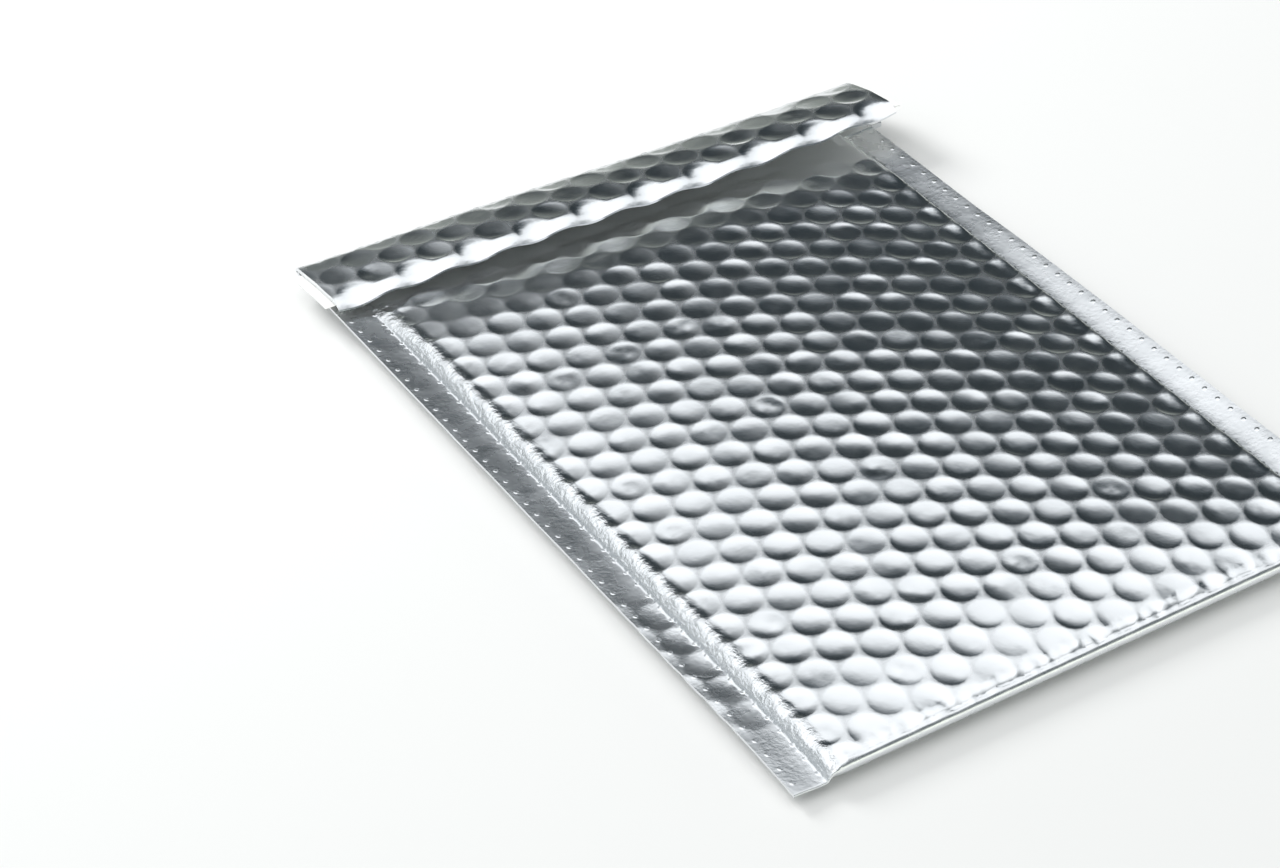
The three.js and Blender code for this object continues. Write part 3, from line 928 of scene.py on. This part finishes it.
def wrinkled_look(name, colour, metallic, roughness, scale, height):
    """A material whose bump and roughness come from the wrinkle group."""
    look = bpy.data.materials.new(name)
    look.use_nodes = True
    tree = look.node_tree
    shader = tree.nodes["Principled BSDF"]
    shader.inputs["Base Color"].default_value = (*colour, 1)
    shader.inputs["Metallic"].default_value = metallic
    pattern = wrinkle_pattern(tree, scale)
    bump = add_node(tree, "ShaderNodeBump", Strength=1.0, Distance=height)
    spread = tree.nodes.new("ShaderNodeMapRange")
    spread.inputs["From Min"].default_value = NOISE_RANGE[0]
    spread.inputs["From Max"].default_value = NOISE_RANGE[1]
    spread.inputs["To Min"].default_value = roughness[0]
    spread.inputs["To Max"].default_value = roughness[1]
    tree.links.new(pattern.outputs["Height"], bump.inputs["Height"])
    tree.links.new(bump.outputs["Normal"], shader.inputs["Normal"])
    tree.links.new(pattern.outputs["Mask"], spread.inputs["Value"])
    tree.links.new(spread.outputs["Result"], shader.inputs["Roughness"])
    return look


# %% [markdown]
# ## The film's own marks
# On top of the wrinkles the film reads the three numbers that were painted on its points. The web between
# bubbles is a little rougher than the film over them, the welded fins have a grain and two rows of small
# dots, and the crinkled strip has creases. A piece that was not painted with a number reads 0 there, so
# the flap has no fins.

# %% Dots along the seals
DOT_RADIUS = 0.8 * MM
DOT_COLUMNS = (88.0 * MM, 80.9 * MM)


def attribute(tree, name):
    """The number that paint() left on the vertices."""
    node = tree.nodes.new("ShaderNodeAttribute")
    node.attribute_name = name
    return node.outputs["Fac"]


def seal_dots(tree, column):
    """A row of small dots along each seal, column away from the middle and half a pitch apart."""
    place = tree.nodes.new("ShaderNodeTexCoord")
    axes = tree.nodes.new("ShaderNodeSeparateXYZ")
    tree.links.new(place.outputs["Object"], axes.inputs[0])
    outward = math_node(tree, "ABSOLUTE", axes.outputs["X"])
    across = math_node(tree, "SUBTRACT", outward, column)
    above = math_node(tree, "SUBTRACT", axes.outputs["Y"], FIRST_ROW_Y)
    steps = math_node(tree, "DIVIDE", above, PITCH / 2)
    along = math_node(tree, "SUBTRACT", math_node(tree, "FRACT", steps), 0.5)
    along = math_node(tree, "MULTIPLY", along, PITCH / 2)
    across_square = math_node(tree, "POWER", across, 2.0)
    along_square = math_node(tree, "POWER", along, 2.0)
    far = math_node(tree, "SQRT", math_node(tree, "ADD", across_square, along_square))
    return ramp_between(tree, far, DOT_RADIUS, DOT_RADIUS / 3)


# %% Film
# The heights are shares of the bump's distance.
FILM_COLOUR = (0.80, 0.82, 0.84)
FILM_ROUGHNESS = (0.13, 0.19)
WEB_ROUGHNESS = 0.11
FILM_SCALE = 700
SEAL_SCALE = 800
FILM_BUMP = 1.0 * MM
FILM_HEIGHT = 0.016
GRAIN_HEIGHT = 0.07
DOT_HEIGHT = 0.2
CREASE_HEIGHT = 0.4

film_look = wrinkled_look(
    "satin_film",
    FILM_COLOUR,
    metallic=1.0,
    roughness=FILM_ROUGHNESS,
    scale=FILM_SCALE,
    height=FILM_BUMP,
)
film_tree = film_look.node_tree
film_shader = film_tree.nodes["Principled BSDF"]
film_bump = next(node for node in film_tree.nodes if node.type == "BUMP")
film_wrinkles = next(node for node in film_tree.nodes if node.type == "GROUP")
film_rough = next(node for node in film_tree.nodes if node.type == "MAP_RANGE")
seal_grain = wrinkle_pattern(film_tree, SEAL_SCALE).outputs["Height"]

outer_dots, inner_dots = [seal_dots(film_tree, column) for column in DOT_COLUMNS]
dots = math_node(film_tree, "ADD", outer_dots, inner_dots)
grain = math_node(film_tree, "MULTIPLY", seal_grain, GRAIN_HEIGHT)
raised = math_node(film_tree, "MULTIPLY", dots, DOT_HEIGHT)
seal_marks = math_node(film_tree, "ADD", grain, raised)
seal_height = math_node(film_tree, "MULTIPLY", seal_marks, attribute(film_tree, "weld"))
creases = math_node(film_tree, "MULTIPLY", seal_grain, CREASE_HEIGHT)
crease_height = math_node(film_tree, "MULTIPLY", creases, attribute(film_tree, "crinkle"))
fine_height = math_node(film_tree, "MULTIPLY", film_wrinkles.outputs["Height"], FILM_HEIGHT)
marks_height = math_node(film_tree, "ADD", seal_height, crease_height)
film_height = math_node(film_tree, "ADD", fine_height, marks_height)
film_tree.links.new(film_height, film_bump.inputs["Height"])

web_rough = math_node(film_tree, "MULTIPLY", attribute(film_tree, "web"), WEB_ROUGHNESS)
rough = math_node(film_tree, "ADD", film_rough.outputs["Result"], web_rough)
film_tree.links.new(rough, film_shader.inputs["Roughness"])
print("film has", len(film_tree.nodes), "nodes")

# %% [markdown]
# ## Glue, paper and lining
# The glue is a slightly yellow, glossy band. The liner is white coated paper, and the inside of the flap is
# a clear lining that looks pale green. None of them is metallic and little of them shows, so the same
# wrinkled finish with other values does for all three. The lining is the second material of the flap,
# because its Solidify modifier gave the inner faces the second slot.

# %% Glue, paper and lining
GLUE_COLOUR = (0.85, 0.81, 0.68)
PAPER_COLOUR = (0.90, 0.90, 0.88)
LINING_COLOUR = (0.90, 0.93, 0.84)

glue_look = wrinkled_look(
    "yellow_glue",
    GLUE_COLOUR,
    metallic=0.0,
    roughness=(0.25, 0.4),
    scale=400,
    height=0.05 * MM,
)
paper_look = wrinkled_look(
    "liner_paper",
    PAPER_COLOUR,
    metallic=0.0,
    roughness=(0.4, 0.55),
    scale=500,
    height=0.03 * MM,
)
lining_look = wrinkled_look(
    "clear_lining",
    LINING_COLOUR,
    metallic=0.0,
    roughness=(0.3, 0.45),
    scale=500,
    height=0.03 * MM,
)
for piece, look in ((pouch, film_look), (flap, film_look), (glue, glue_look), (liner, paper_look)):
    piece.data.materials.clear()
    piece.data.materials.append(look)
flap.data.materials.append(lining_look)
print("materials on the flap", [look.name for look in flap.data.materials])

# %% [markdown]
# ## Ties to the frame
# Every piece rides on the one body and stands for its CAD solid, which stays hidden for collision.

# %% Tie the pieces to the frame
for piece, node, slot in (
    (pouch, "envelope", "metallised_film"),
    (flap, "envelope", "metallised_film"),
    (glue, "adhesive_strip", "adhesive"),
    (liner, "release_liner", "liner_paper"),
):
    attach(piece, "root")
    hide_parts(node)
